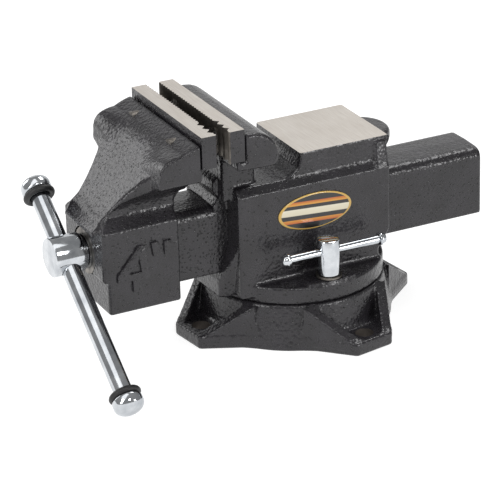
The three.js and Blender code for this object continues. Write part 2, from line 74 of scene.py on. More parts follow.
# colour and mesh helpers
def linear(code, strength=1.0):
    values = [int(code[i:i + 2], 16) / 255 for i in (1, 3, 5)]
    curve = [v / 12.92 if v <= 0.04045 else ((v + 0.055) / 1.055) ** 2.4 for v in values]
    return [c * strength for c in curve] + [1.0]


def meshObject(name, points, faces, look):
    mesh = bpy.data.meshes.new(name)
    mesh.from_pydata([Vector(p) * mm for p in points], [], [list(map(int, f)) for f in faces])
    tidy = bmesh.new()
    tidy.from_mesh(mesh)
    bmesh.ops.recalc_face_normals(tidy, faces=tidy.faces)
    tidy.to_mesh(mesh)
    tidy.free()
    obj = bpy.data.objects.new(name, mesh)
    bpy.context.scene.collection.objects.link(obj)
    mesh.materials.append(look)
    return obj


def applied(obj):
    bpy.context.view_layer.update()
    result = obj.evaluated_get(bpy.context.evaluated_depsgraph_get())
    mesh = bpy.data.meshes.new_from_object(result)
    obj.modifiers.clear()
    old = obj.data
    obj.data = mesh
    bpy.data.meshes.remove(old)
    return obj


def smoothed(obj, angle=35):
    obj.data.shade_smooth()
    obj.data.set_sharp_from_angle(angle=math.radians(angle))
    return obj


def bevelled(obj, width, segments=2, angle=30):
    bevel = obj.modifiers.new("edge", "BEVEL")
    bevel.width = width * mm
    bevel.segments = segments
    bevel.limit_method = "ANGLE"
    bevel.angle_limit = math.radians(angle)
    bevel.harden_normals = False
    return smoothed(applied(obj))


def machined(obj, *tools, operation="DIFFERENCE"):
    for tool in tools:
        cutter = obj.modifiers.new("cut", "BOOLEAN")
        cutter.operation = operation
        cutter.solver = "MANIFOLD"
        cutter.object = tool
        before = len(obj.data.polygons)
        applied(obj)
        if len(obj.data.polygons) < before / 2:
            raise RuntimeError(f"{obj.name}: the cut by {tool.name} failed")
        bpy.data.objects.remove(tool)
    return obj


def placed(a, b, c, axis):
    # a and b span the section, c runs along the axis
    return {"x": (c, a, b), "y": (a, c, b), "z": (a, b, c)}[axis]


def prism(name, outline, low, high, axis, look):
    count = len(outline)
    points = [placed(a, b, end, axis) for end in (low, high) for a, b in outline]
    sides = [(i, (i + 1) % count, count + (i + 1) % count, count + i) for i in range(count)]
    caps = [tuple(range(count)), tuple(range(count, 2 * count))]
    return meshObject(name, points, sides + caps, look)


def turned(name, profile, centre, axis, look, sides=48, closed=False):
    # profile is [radius, distance] pairs from one end of the axis to the other
    direction = Vector(axis).normalized()
    across = direction.orthogonal().normalized()
    upward = direction.cross(across)
    points = []
    for radius, along in profile:
        for i in range(sides):
            turn = 2 * math.pi * i / sides
            spoke = across * math.cos(turn) + upward * math.sin(turn)
            points.append(Vector(centre) + direction * along + spoke * max(radius, 0.001))
    rings = len(profile)
    faces = []
    for ring in range(rings - 1):
        for i in range(sides):
            j = (i + 1) % sides
            faces.append((ring * sides + i, ring * sides + j, (ring + 1) * sides + j, (ring + 1) * sides + i))
    if closed:
        for i in range(sides):
            j = (i + 1) % sides
            faces.append(((rings - 1) * sides + i, (rings - 1) * sides + j, j, i))
    else:
        faces.append(tuple(range(sides)))
        faces.append(tuple(range((rings - 1) * sides, rings * sides)))
    return meshObject(name, points, faces, look)


def rounded(corners, steps=6):
    # corners are (a, b) or (a, b, radius); a radius turns the corner into an arc
    path = []
    count = len(corners)
    for i, corner in enumerate(corners):
        here = Vector(corner[:2])
        radius = corner[2] if len(corner) > 2 else 0
        if not radius:
            path.append(tuple(here))
            continue
        back = (Vector(corners[i - 1][:2]) - here).normalized()
        ahead = (Vector(corners[(i + 1) % count][:2]) - here).normalized()
        half = back.angle(ahead) / 2
        middle = here + (back + ahead).normalized() * (radius / math.sin(half))
        start = here + back * (radius / math.tan(half)) - middle
        end = here + ahead * (radius / math.tan(half)) - middle
        sweep = start.angle_signed(end)
        for step in range(steps + 1):
            turn = -sweep * step / steps
            spoke = Matrix.Rotation(turn, 2) @ start
            path.append(tuple(middle + spoke))
    return path


# cast shapes, as distance fields joined with fillets
castPitch = 0.8  # size of the field's steps


class Space:
    def __init__(self, low, high, pitch):
        self.low = np.array(low, np.float32)
        self.pitch = pitch
        steps = [np.arange(a, b + pitch, pitch, dtype=np.float32) for a, b in zip(low, high)]
        self.x = steps[0][:, None, None]
        self.y = steps[1][None, :, None]
        self.z = steps[2][None, None, :]


def section(a, b, corners):
    # distance to a closed outline, less than nothing inside it
    nearest = None
    inside = np.zeros(np.broadcast(a, b).shape, bool)
    path = rounded(corners)
    for (a0, b0), (a1, b1) in zip(path, path[1:] + path[:1]):
        da, db = a1 - a0, b1 - b0
        length = da * da + db * db
        if length < 1e-9:
            continue
        t = np.clip(((a - a0) * da + (b - b0) * db) / length, 0, 1)
        distance = np.hypot(a - a0 - t * da, b - b0 - t * db)
        nearest = distance if nearest is None else np.minimum(nearest, distance)
        if db:
            inside ^= ((b0 > b) != (b1 > b)) & (a < (b - b0) * da / db + a0)
    return np.where(inside, -nearest, nearest)


def between(t, low, high):
    return np.maximum(low - t, t - high)


def block(flat, across, edge):
    # a section run across a span, with its rims rounded by edge
    d, w = flat + edge, across + edge
    return np.minimum(np.maximum(d, w), 0) + np.hypot(np.maximum(d, 0), np.maximum(w, 0)) - edge


def weld(a, b, fillet):
    rounding = np.hypot(np.maximum(fillet - a, 0), np.maximum(fillet - b, 0))
    return np.maximum(fillet, np.minimum(a, b)) - rounding


def both(a, b, edge):
    return np.minimum(-edge, np.maximum(a, b)) + np.hypot(np.maximum(edge + a, 0), np.maximum(edge + b, 0))


def carve(a, b, edge):
    return both(a, -b, edge)


def hullField(space, points):
    shell = bmesh.new()
    for point in points:
        shell.verts.new(point)
    bmesh.ops.convex_hull(shell, input=shell.verts)
    shell.normal_update()
    middle = sum((v.co for v in shell.verts), Vector()) / len(shell.verts)
    field = None
    seen = []
    for face in shell.faces:
        n = face.normal.copy()
        reach = n.dot(face.verts[0].co)
        if n.dot(middle) > reach:
            n, reach = -n, -reach
        if any(n.dot(old) > 0.9999 and abs(reach - far) < 0.01 for old, far in seen):
            continue
        seen.append((n, reach))
        plane = space.x * n.x + space.y * n.y + space.z * n.z - reach
        field = plane if field is None else np.maximum(field, plane)
    shell.free()
    return field


def casting(name, space, field, look):
    band = 3 * space.pitch
    grid = openvdb.FloatGrid(band)
    grid.copyFromArray(np.clip(field, -band, band).astype(np.float32))
    points, quads = grid.convertToQuads(0.0)
    points = points * space.pitch + space.low
    obj = meshObject(name, points, quads, look)
    print(name, len(quads), "faces cast")
    return obj


# materials
def node(tree, kind, settings=None, **inputs):
    made = tree.nodes.new(kind)
    for key, value in (settings or {}).items():
        setattr(made, key, value)
    for key, value in inputs.items():
        name = key.replace("_", " ")
        numbered = name.startswith("in") and name[2:].isdigit()
        socket = made.inputs[int(name[2:]) if numbered else name]
        if isinstance(value, bpy.types.NodeSocket):
            tree.links.new(value, socket)
        else:
            socket.default_value = value
    return made


def newMaterial(name):
    made = bpy.data.materials.new(name)
    made.use_nodes = True
    tree = made.node_tree
    tree.nodes.clear()
    shader = node(tree, "ShaderNodeBsdfPrincipled")
    node(tree, "ShaderNodeOutputMaterial", Surface=shader.outputs[0])
    place = node(tree, "ShaderNodeTexCoord").outputs["Object"]
    return made, tree, shader, place


def ramp(tree, value, stops):
    made = node(tree, "ShaderNodeValToRGB", Fac=value)
    band = made.color_ramp
    while len(band.elements) < len(stops):
        band.elements.new(0.5)
    for element, (position, colour) in zip(band.elements, stops):
        element.position = position
        element.color = colour
    return made.outputs["Color"]


def grey(value):
    return [value, value, value, 1.0]


def hammertonePaint():
    # stoved hammer-finish enamel on cast iron: near-black grey with softly domed cells and black pinholes
    paint = {"cell": 2.2, "speck": 2.1, "wander": 0.9, "wave": 16, "light": "#2c2a2e", "dark": "#1e1c1f",
             "speckColour": "#030303"}
    made, tree, shader, place = newMaterial("hammertone_enamel")
    warp = node(tree, "ShaderNodeTexNoise", Vector=place, Scale=1 / (1.7 * mm), Detail=1.0)
    shifted = node(tree, "ShaderNodeVectorMath", {"operation": "MULTIPLY_ADD"}, in0=warp.outputs["Color"],
                   in1=(paint["wander"] * mm,) * 3, in2=place)
    cells = node(tree, "ShaderNodeTexVoronoi", {"feature": "SMOOTH_F1"}, Vector=place,
                 Scale=1 / (paint["cell"] * mm), Smoothness=0.6)
    specks = node(tree, "ShaderNodeTexVoronoi", Vector=shifted.outputs[0], Scale=1 / (paint["speck"] * mm))
    flow = node(tree, "ShaderNodeTexNoise", Vector=place, Scale=1 / (paint["wave"] * mm), Detail=3.0)
    grain = node(tree, "ShaderNodeTexNoise", Vector=place, Scale=1 / (0.9 * mm), Detail=2.0)
    pit = ramp(tree, specks.outputs["Distance"], [(0.2, grey(1)), (0.32, grey(0))])
    some = ramp(tree, specks.outputs["Color"], [(0.3, grey(0)), (0.5, grey(1))])
    speckMask = node(tree, "ShaderNodeMix", {"data_type": "RGBA", "blend_type": "MULTIPLY"},
                     Factor=1.0, in6=pit, in7=some).outputs[2]
    tone = ramp(tree, flow.outputs["Fac"], [(0.3, linear(paint["dark"])), (0.7, linear(paint["light"]))])
    colour = node(tree, "ShaderNodeMix", {"data_type": "RGBA"}, Factor=speckMask, in6=tone,
                  in7=linear(paint["speckColour"])).outputs[2]
    tree.links.new(colour, shader.inputs["Base Color"])
    shader.inputs["Metallic"].default_value = 0.1
    shader.inputs["IOR"].default_value = 1.55
    gloss = ramp(tree, grain.outputs["Fac"], [(0.3, grey(0.2)), (0.7, grey(0.34))])
    tree.links.new(gloss, shader.inputs["Roughness"])
    domes = node(tree, "ShaderNodeBump", {"invert": True}, Strength=0.6, Distance=0.45 * mm,
                 Height=cells.outputs["Distance"])
    pits = node(tree, "ShaderNodeBump", {"invert": True}, Strength=0.6, Distance=0.3 * mm,
                Height=speckMask, Normal=domes.outputs[0])
    tree.links.new(pits.outputs[0], shader.inputs["Normal"])
    return made


def groundSteel():
    # jaw and anvil steel ground flat: pale warm grey with fine straight wheel marks along the work
    steel = {"mark": 0.35, "length": 18, "light": "#d8d3cc", "dark": "#c2bab1"}
    made, tree, shader, place = newMaterial("surface_ground_steel")
    stretch = node(tree, "ShaderNodeMapping", Vector=place,
                   Scale=(1 / (steel["mark"] * mm), 1 / (steel["length"] * mm), 1 / (steel["mark"] * mm)))
    marks = node(tree, "ShaderNodeTexNoise", Vector=stretch.outputs[0], Scale=1.0, Detail=4.0)
    cloud = node(tree, "ShaderNodeTexNoise", Vector=place, Scale=1 / (22 * mm), Detail=3.0)
    mixed = node(tree, "ShaderNodeMix", {"data_type": "RGBA"}, Factor=0.3, in6=marks.outputs["Color"],
                 in7=cloud.outputs["Color"]).outputs[2]
    tone = ramp(tree, mixed, [(0.38, linear(steel["dark"])), (0.62, linear(steel["light"]))])
    tree.links.new(tone, shader.inputs["Base Color"])
    shader.inputs["Metallic"].default_value = 1.0
    gloss = ramp(tree, marks.outputs["Fac"], [(0.3, grey(0.34)), (0.7, grey(0.5))])
    tree.links.new(gloss, shader.inputs["Roughness"])
    scratch = node(tree, "ShaderNodeBump", Strength=0.12, Distance=0.05 * mm, Height=marks.outputs["Fac"])
    tree.links.new(scratch.outputs[0], shader.inputs["Normal"])
    return made


def chromePlate():
    # polished bright chrome: near-mirror steel with a faint orange peel
    made, tree, shader, place = newMaterial("bright_chrome_plate")
    peel = node(tree, "ShaderNodeTexNoise", Vector=place, Scale=1 / (3 * mm), Detail=2.0)
    smear = node(tree, "ShaderNodeTexNoise", Vector=place, Scale=1 / (9 * mm), Detail=3.0)
    tone = ramp(tree, smear.outputs["Fac"], [(0.3, linear("#a9adb2")), (0.7, linear("#cfd2d5"))])
    tree.links.new(tone, shader.inputs["Base Color"])
    shader.inputs["Metallic"].default_value = 1.0
    gloss = ramp(tree, smear.outputs["Fac"], [(0.35, grey(0.07)), (0.7, grey(0.14))])
    tree.links.new(gloss, shader.inputs["Roughness"])
    ripple = node(tree, "ShaderNodeBump", Strength=0.05, Distance=0.1 * mm, Height=peel.outputs["Fac"])
    tree.links.new(ripple.outputs[0], shader.inputs["Normal"])
    return made


def oiledSteel():
    # turned steel left bare and oiled: dark grey metal with faint tool rings and brown bloom
    made, tree, shader, place = newMaterial("oiled_turned_steel")
    bloom = node(tree, "ShaderNodeTexNoise", Vector=place, Scale=1 / (6 * mm), Detail=5.0)
    tone = ramp(tree, bloom.outputs["Fac"], [(0.3, linear("#4b4743")), (0.7, linear("#8b8680"))])
    tree.links.new(tone, shader.inputs["Base Color"])
    shader.inputs["Metallic"].default_value = 1.0
    gloss = ramp(tree, bloom.outputs["Fac"], [(0.3, grey(0.5)), (0.7, grey(0.3))])
    tree.links.new(gloss, shader.inputs["Roughness"])
    rings = node(tree, "ShaderNodeTexNoise", Vector=place, Scale=1 / (0.5 * mm), Detail=1.0)
    bump = node(tree, "ShaderNodeBump", Strength=0.1, Distance=0.1 * mm, Height=rings.outputs["Fac"])
    tree.links.new(bump.outputs[0], shader.inputs["Normal"])
    return made


def rawCastIron():
    # iron as it left the sand: matt brown-grey with a grit of half a millimetre
    made, tree, shader, place = newMaterial("sand_cast_iron")
    grit = node(tree, "ShaderNodeTexNoise", Vector=place, Scale=1 / (0.6 * mm), Detail=3.0)
    bloom = node(tree, "ShaderNodeTexNoise", Vector=place, Scale=1 / (8 * mm), Detail=3.0)
    tone = ramp(tree, bloom.outputs["Fac"], [(0.3, linear("#38332f")), (0.7, linear("#58524d"))])
    tree.links.new(tone, shader.inputs["Base Color"])
    shader.inputs["Metallic"].default_value = 0.7
    shader.inputs["Roughness"].default_value = 0.62
    bump = node(tree, "ShaderNodeBump", Strength=0.4, Distance=0.2 * mm, Height=grit.outputs["Fac"])
    tree.links.new(bump.outputs[0], shader.inputs["Normal"])
    return made


def blackRubber():
    # moulded nitrile ring: deep black, soft sheen
    made, tree, shader, place = newMaterial("moulded_nitrile_rubber")
    grain = node(tree, "ShaderNodeTexNoise", Vector=place, Scale=1 / (0.4 * mm), Detail=2.0)
    tone = ramp(tree, grain.outputs["Fac"], [(0.3, linear("#0b0b0c")), (0.7, linear("#1a1a1b"))])
    tree.links.new(tone, shader.inputs["Base Color"])
    shader.inputs["Roughness"].default_value = 0.5
    bump = node(tree, "ShaderNodeBump", Strength=0.15, Distance=0.1 * mm, Height=grain.outputs["Fac"])
    tree.links.new(bump.outputs[0], shader.inputs["Normal"])
    return made


def badgeEnamel():
    # printed and resin-domed plate: gold rim, black field and two warm bands under a clear gloss
    made, tree, shader, place = newMaterial("domed_badge_print")
    middle = (badgeLow + badgeHigh) / 2 * mm
    half = (badgeHigh - badgeLow) / 2 * mm
    local = node(tree, "ShaderNodeMapping", {"vector_type": "TEXTURE"}, Vector=place, Location=tuple(middle),
                 Scale=(half.x, 1.0, half.z))
    parts = node(tree, "ShaderNodeSeparateXYZ", Vector=local.outputs[0])
    flat = node(tree, "ShaderNodeCombineXYZ", X=parts.outputs["X"], Z=parts.outputs["Z"])
    reach = node(tree, "ShaderNodeVectorMath", {"operation": "LENGTH"}, in0=flat.outputs[0]).outputs["Value"]
    sweep = node(tree, "ShaderNodeMath", {"operation": "MULTIPLY_ADD"}, in0=parts.outputs["X"], in1=0.16,
                 in2=parts.outputs["Z"]).outputs[0]
    height = node(tree, "ShaderNodeMath", {"operation": "MULTIPLY_ADD"},
                  in0=sweep, in1=0.5, in2=0.5).outputs[0]
    field = ramp(tree, height, [
        (0.0, linear("#0d0b0a")), (0.2, linear("#0d0b0a")),
        (0.205, linear("#c8601a")), (0.3, linear("#e0962a")),
        (0.305, linear("#0d0b0a")), (0.42, linear("#0d0b0a")), (0.425, linear("#e9dfc2")),
        (0.6, linear("#f2ead2")), (0.605, linear("#0d0b0a")), (0.7, linear("#0d0b0a")),
        (0.705, linear("#e8a83a")), (0.8, linear("#c8601a")), (0.805, linear("#0d0b0a")),
    ])
    field.node.color_ramp.interpolation = "LINEAR"
    rim = ramp(tree, reach, [(0.925, grey(0)), (0.935, grey(1))])
    colour = node(tree, "ShaderNodeMix", {"data_type": "RGBA"},
                  Factor=rim, in6=field, in7=linear("#d9b25c")).outputs[2]
    tree.links.new(colour, shader.inputs["Base Color"])
    shader.inputs["Roughness"].default_value = 0.3
    shader.inputs["Coat Weight"].default_value = 0.5
    shader.inputs["Coat Roughness"].default_value = 0.08
    return made


def studioFloor():
    # matt white acrylic sheet lit from beneath, so shadows on it stay faint
    made, tree, shader, place = newMaterial("lit_white_acrylic")
    cloud = node(tree, "ShaderNodeTexNoise", Vector=place, Scale=1 / (400 * mm), Detail=2.0)
    tone = ramp(tree, cloud.outputs["Fac"], [(0.3, grey(0.4)), (0.7, grey(0.42))])
    tree.links.new(tone, shader.inputs["Base Color"])
    shader.inputs["Emission Color"].default_value = grey(1)
    shader.inputs["Emission Strength"].default_value = 0.8
    shader.inputs["Roughness"].default_value = 0.8
    shader.inputs["Specular IOR Level"].default_value = 0.1
    return made


paint = hammertonePaint()
ground = groundSteel()
chrome = chromePlate()
oiled = oiledSteel()
rawIron = rawCastIron()
rubber = blackRubber()
badgeLook = badgeEnamel()
print("materials made")


def finished(obj, body, slot, *replaced):
    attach(obj, body)
    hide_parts(*replaced)
    return obj


def machinedFaces(obj, look, test):
    # faces that the test picks are bare ground metal
    obj.data.materials.append(look)
    for face in obj.data.polygons:
        if test(face.center / mm, face.normal):
            face.material_index = len(obj.data.materials) - 1


# slide bar section, as wide as the CAD bar with an even wall or clearance
bar = {
    "half": 20.0, "bottom": 48.0, "sideTop": 86.0, "crown": 93.8,
    "wall": 6.0, "clearance": 0.4, "end": 205.7,
}


def barOutline(grow, bottom):
    half = bar["half"] + grow
    side, crown = bar["sideTop"] + grow, bar["crown"] + grow
    curve = []
    for step in range(9):
        t = step / 8
        curve.append((
            (1 - t) ** 2 * half + 2 * t * (1 - t) * half + t * t * half * 0.65,
            (1 - t) ** 2 * side + 2 * t * (1 - t) * (crown - 1) + t * t * (crown - 0.5),
        ))
    right = curve + [(0, crown)] + [(-a, b) for a, b in reversed(curve)]
    return [(-half, bottom), (half, bottom)] + right


# fixed body
def pipeTeeth(back):
    return [
        (0.4, 132), (8.5, 116, 0.5), (2.5, 110, 0.5), (2.5, 104, 0.5),
        (6, 99, 0.5), (2.5, 94, 0.5), (2.5, 90, 0.5),
        (back, 90), (back, 132),
    ]


def fixedBody():
    shape = {
        "front": 12, "rear": 120, "shoulder": 102.6, "crest": 107.4, "crestHalf": 31.8,
        "anvilHalf": 31, "anvilTop": 122.3, "neckHalf": 28,
        "flange": 58.5, "flangeTop": 41.5, "bossRadius": 17, "bossTop": 43.5, "studCircle": 50,
    }
    space = Space((bodyLow.x - 4, bodyLow.y - 3, 27), (72, bodyHigh.y + 3, bodyHigh.z + 3), castPitch)
    x, y, z = space.x, space.y, space.z
    u = x - fixedFace
    side = abs(y)

    jaw = block(section(u, z, [
        (5.7, 127.4, 1.5), (5.7, 133.7), (11.4, 133.7),
        (11.4, 150.5, 0.8), (34.4, 150.5, 17.5), (34.4, 126.2, 6),
    ]), side - jawHalf, 2.2)
    neck = block(section(u, z, [(6, 98), (6, 133.5), (29, 133.5), (29, 98)]), side - shape["neckHalf"], 4)
    body = block(section(y, z, [
        (-36, 34), (36, 34), (36, shape["shoulder"], 1.6), (shape["crestHalf"], shape["crest"], 2),
        (-shape["crestHalf"], shape["crest"], 2), (-36, shape["shoulder"], 1.2),
    ]), between(u, shape["front"], shape["rear"]), 1.4)
    undercut = section(u, z, [(112, 20), (130, 20), (130, 62), (120.5, 60), (112, 47)])
    body = carve(body, undercut, 2)

    slope = shape["anvilHalf"] + (shape["anvilTop"] - z) * 0.07
    anvil = block(section(u, z, [
        (47.5, 98), (48, 107, 2), (56.5, 113, 5), (58.7, 118), (58.7, 123.4), (121.5, 123.4), (121.5, 119, 2),
        (120, 112), (120, 98),
    ]), side - slope, 1.6)
    column = block(section(u, z, [(109.5, 90), (111, 120.5, 3), (120.2, 120.5, 1), (120.2, 90)]),
                   side - (35.6 - np.maximum(z - 103, 0) * 0.2), 2)
    tongue = block(np.hypot(x - 50, y) - 20, between(z, 104 + np.maximum(x - 56, 0) * 0.45, 118.3), 4)

    foot = hullField(space, [(fixedFace + a, way * b, c) for way in (-1, 1) for a, b, c in (
        (32, 35.5, 31), (26, 35.5, 41.5), (12.5, 35.2, 71), (32, 35.5, 71), (4, 20, 31), (4, 20, 42),
    )])
    pipe = block(section(u, z, pipeTeeth(20)), side - bar["half"], 0.6)
    ring = np.hypot(x, y)
    flange = block(ring - shape["flange"], between(z, 30, shape["flangeTop"]), 1.6)
    for way in (-1, 1):
        boss = block(np.hypot(x, y - way * shape["studCircle"]) - shape["bossRadius"],
                     between(z, 31, shape["bossTop"]), 1)
        flange = weld(flange, both(boss, ring - shape["flange"] + 0.6, 1), 1)

    whole = weld(jaw, neck, 4.5)
    whole = weld(whole, weld(body, np.minimum(anvil, column), 1.2), 2)
    whole = weld(whole, tongue, 2)
    whole = weld(whole, foot, 0.6)
    whole = weld(whole, flange, 2.2)
    whole = np.minimum(whole, pipe)
    obj = casting("painted_fixed_body", space, whole, paint)

    channel = prism("channel", barOutline(bar["clearance"], bar["bottom"] - bar["clearance"]),
                    fixedFace - 20, 90, "x", rawIron)
    levelling = prism("levelling", [(-13, -50), (90, -50), (90, 50), (-13, 50)],
                      shape["anvilTop"], 130, "z", ground)
    holes = [
        turned("stud_hole", [(5.3, 20), (5.3, 45)], (0, way * shape["studCircle"], 0), (0, 0, 1), oiled, 32)
        for way in (-1, 1)
    ]
    machined(obj, channel, levelling, *holes)
    machinedFaces(obj, ground, lambda at, up:
                  abs(at.z - shape["anvilTop"]) < 0.05 and up.z > 0.99 and at.x > -15)
    smoothed(obj, 32)
    return finished(obj, "upper", "hammertone", "fixed_body")


fixedBody()


# moving jaw
def movingJaw():
    shape = {
        "front": 69.8, "lowerFront": 66.8, "bossRear": 17.8, "step": 62,
        "neckHalf": 21, "recess": 16, "recessDepth": 4, "wall": 20,
    }
    space = Space((jawLow.x - 3, jawLow.y - 3, jawLow.z - 3),
                  (jawHigh.x + 3, jawHigh.y + 3, jawHigh.z + 3), castPitch)
    x, y, z = space.x, space.y, space.z
    d = movingFace - x
    side = abs(y)

    dome = np.sqrt(np.clip(17.5 ** 2 - (d - 21.7) ** 2, 0, None)) + 131.5
    slope = 150.5 - 1.105 * (d - 22)
    bulge = np.clip((side - 14) / (jawHalf - 14), 0, 1)
    swell = np.where((d > 21.7) & (d < 39.2), np.maximum(dome - slope, 0), 0)
    swell = swell * bulge * bulge * (3 - 2 * bulge)
    crest = both((z - slope - swell) * 0.67, z - 150.4, 12)
    plan = section(d, side, [(10.7, -9), (10.7, jawHalf), (39.2, jawHalf, 2),
                             (39.6, 38, 2), (44, 32.4), (50, 28),
                             (56, 24.6), (62, 22.4), (74, 21.5), (74, -9)])
    spread = np.clip((side - 21) / (jawHalf - 21), 0, 1) ** 0.45
    under = np.minimum(102 + 24.4 * spread, slope - 2.5)
    head = both(both(crest, plan, 1.6), (under - z) * 0.8, 1.2)
    head = both(head, 8.6 - d, 1)
    neck = block(section(d, z, [(18.3, 92), (17.5, 106, 2), (14, 112.5), (8.6, 112.5), (8.6, 125), (34, 125),
                                (54, 98), (54, 92)]), side - shape["neckHalf"], 2)
    throat = section(d, z, [(17.6, 90), (17.6, 106, 2), (14, 112.5, 2), (-5, 112.5), (-5, 90)])
    head = carve(head, throat, 1)
    bossLow = section(y, z, [(-29, 40, 1.5), (29, 40, 1.5), (29, 80), (-29, 80)])
    bossHigh = section(y, z, [(-29, shape["step"]), (29, shape["step"]),
                              (29, 95, 1.2), (21, 103, 1.2), (-21, 103, 1.2),
                              (-29, 95, 1.2)])
    boss = weld(block(bossLow, between(d, shape["bossRear"], shape["lowerFront"]), 1.6),
                block(bossHigh, between(d, shape["bossRear"], shape["front"]), 1.6), 0.8)
    boss = both(boss, (z - slope) * 0.67, 2.5)
    slideBar = block(section(y, z, barOutline(0, bar["bottom"])), between(-d, -30, bar["end"]), 1.2)
    pipe = block(section(d, z, [(0.4, 132), (8.5, 116, 0.5), (5, 112.6, 0.5), (16, 112.6), (16, 132)]),
                 side - bar["half"], 0.6)
    seatCut = section(d, z, [(-5, plateBottom - 0.3), (11.4, plateBottom - 0.3), (11.4, 170), (-5, 170)])
    whole = np.maximum(head, -seatCut)
    whole = weld(whole, neck, 4)
    whole = weld(whole, boss, 2.5)
    whole = np.minimum(whole, pipe)
    whole = weld(whole, slideBar, 1.5)
    obj = casting("painted_moving_jaw", space, whole, paint)

    frontX = movingFace - shape["front"]
    hollow = prism("hollow", barOutline(-bar["wall"], 20), frontX + shape["wall"],
                   movingFace + bar["end"] + 5, "x", rawIron)
    bore = turned("bore", [(screwRadius + 0.4, -5), (screwRadius + 0.4, shape["wall"] + 1)],
                  (frontX, 0, screwHeight), (1, 0, 0), oiled)
    recess = turned("recess", [(shape["recess"], -5), (shape["recess"], shape["recessDepth"])],
                    (frontX, 0, screwHeight), (1, 0, 0), oiled)
    machined(obj, hollow, recess, bore)
    sizeMark(obj)
    smoothed(obj, 32)
    return finished(obj, "slider", "hammertone", "moving_jaw")


def sizeMark(casting):
    # raised cast figure 4 and two inch ticks on the boss's near face, the jaw width in inches
    mark = {"proud": 1.8, "face": -29.0}
    four = [(-136.7, 66.4), (-121.7, 84), (-117.5, 83.4), (-115.4, 66.5), (-115.2, 60.6), (-121.4, 60.9),
            (-121.1, 52.8), (-126.5, 53.2), (-126.8, 61.4), (-137, 61.7)]
    eye = [(-129.2, 66.2), (-121.8, 75.4), (-120.6, 66)]
    ticks = ([(-113.5, 84.2), (-108.1, 83.7), (-111.9, 74.3)], [(-104.6, 83.6), (-99.2, 83), (-104.4, 74)])
    outer = mark["face"] - mark["proud"]
    figure = prism("figure", four, outer, mark["face"] + 1, "y", paint)
    machined(figure, prism("eye", eye, outer - 2, mark["face"] + 3, "y", paint))
    shapes = [figure] + [prism("tick", tick, outer, mark["face"] + 1, "y", paint) for tick in ticks]
    for shape in shapes:
        bevelled(shape, 0.35)
    machined(casting, *shapes, operation="UNION")


movingJaw()


# swivel base
def swivelBase():
    shape = {
        "foot": 64, "rim": 59, "height": 29.7, "turn": -36, "lugTurn": 43, "reach": 82.7, "tipHalf": 14.2,
        "flare": 33, "pad": 9, "holeCircle": 72, "hole": 6, "gusset": 6.5, "gussetReach": 79, "inner": 24,
    }
    space = Space((baseLow.x - 3, baseLow.y - 3, -2), (baseHigh.x + 3, baseHigh.y + 3, 33), castPitch)
    x, y, z = space.x, space.y, space.z
    ring = np.hypot(x, y)
    wallRadius = shape["foot"] - (shape["foot"] - shape["rim"]) * z / shape["height"]
    whole = block(ring - wallRadius, between(z, 0, shape["height"]), 1.4)
    flare = math.tan(math.radians(shape["flare"]))
    wall = shape["gusset"] / math.cos(math.radians(shape["flare"]))
    holes = []
    for lug in (shape["lugTurn"], 180 - shape["lugTurn"], 180 + shape["lugTurn"], -shape["lugTurn"]):
        angle = math.radians(lug + shape["turn"])
        c, s = math.cos(angle), math.sin(angle)
        out = x * c + y * s
        along = y * c - x * s

        def halfAt(reach):
            return shape["tipHalf"] + (shape["reach"] - reach) * flare

        pad = block(section(out, along, [
            (shape["inner"], -halfAt(shape["inner"])), (shape["reach"], -shape["tipHalf"], 3),
            (shape["reach"], shape["tipHalf"], 3), (shape["inner"], halfAt(shape["inner"])),
        ]), between(z, 0, shape["pad"]), 1.6)
        root = shape["rim"] - shape["gusset"]
        for way in (-1, 1):
            corners = []
            for reach, top in ((root, shape["height"] - 0.4), (shape["gussetReach"], shape["pad"] + 0.3)):
                for inset in (0, wall):
                    for level in (4.5, top):
                        spot = way * (halfAt(reach) - inset)
                        corners.append((reach * c - spot * s, reach * s + spot * c, level))
            pad = weld(pad, hullField(space, corners), 2)
        whole = weld(whole, pad, 2.5)
        centre = (shape["holeCircle"] * c, shape["holeCircle"] * s, 0)
        holes.append(turned("bolt_hole", [(shape["hole"], -2), (shape["hole"], 14)],
                            centre, (0, 0, 1), rawIron, 40))
    whole = np.maximum(whole, -z)
    obj = casting("painted_swivel_base", space, whole, paint)
    slot = turned("slot", [(44.3, 31), (44.3, 21), (41.4, 21), (41.4, 12),
                           (58.4, 12), (58.4, 21), (55.7, 21), (55.7, 31)],
                  (0, 0, 0), (0, 0, 1), rawIron, 96, closed=True)
    machined(obj, slot, *holes)
    smoothed(obj, 32)
    return finished(obj, "base", "hammertone", "swivel_base")


swivelBase()
print("castings done")


# jaw plates: ground on top, painted ends and backs, serrated faces
def jawPlate(name, low, high, facing, valleys):
    plate = {"pitch": 3.2, "depth": 1.0, "toothDepth": 3.2, "toothHalf": 3.3}
    front, back = (low.x, high.x) if facing < 0 else (high.x, low.x)
    inward = 1 if facing < 0 else -1
    rows = round((high.y - low.y) / (plate["pitch"] / 8))
    edge = []
    for row in range(rows + 1):
        y = low.y + (high.y - low.y) * row / rows
        fine = abs((y / plate["pitch"]) % 1 - 0.5) * 2 * plate["depth"]
        tooth = max(max(0, 1 - abs(y - valley) / plate["toothHalf"])
                    for valley in valleys) * plate["toothDepth"]
        edge.append((front + inward * max(fine, tooth), y))
    outline = edge + [(back, high.y), (back, low.y)]
    obj = prism(name, outline, low.z, high.z, "z", paint)
    machinedFaces(obj, oiled, lambda at, up:
                  abs(up.z) < 0.5 and abs(at.x - front) < 4 and abs(at.y) < jawHalf - 0.1)
    machinedFaces(obj, ground, lambda at, up: up.z > 0.9)
    obj.data.shade_flat()
    return obj


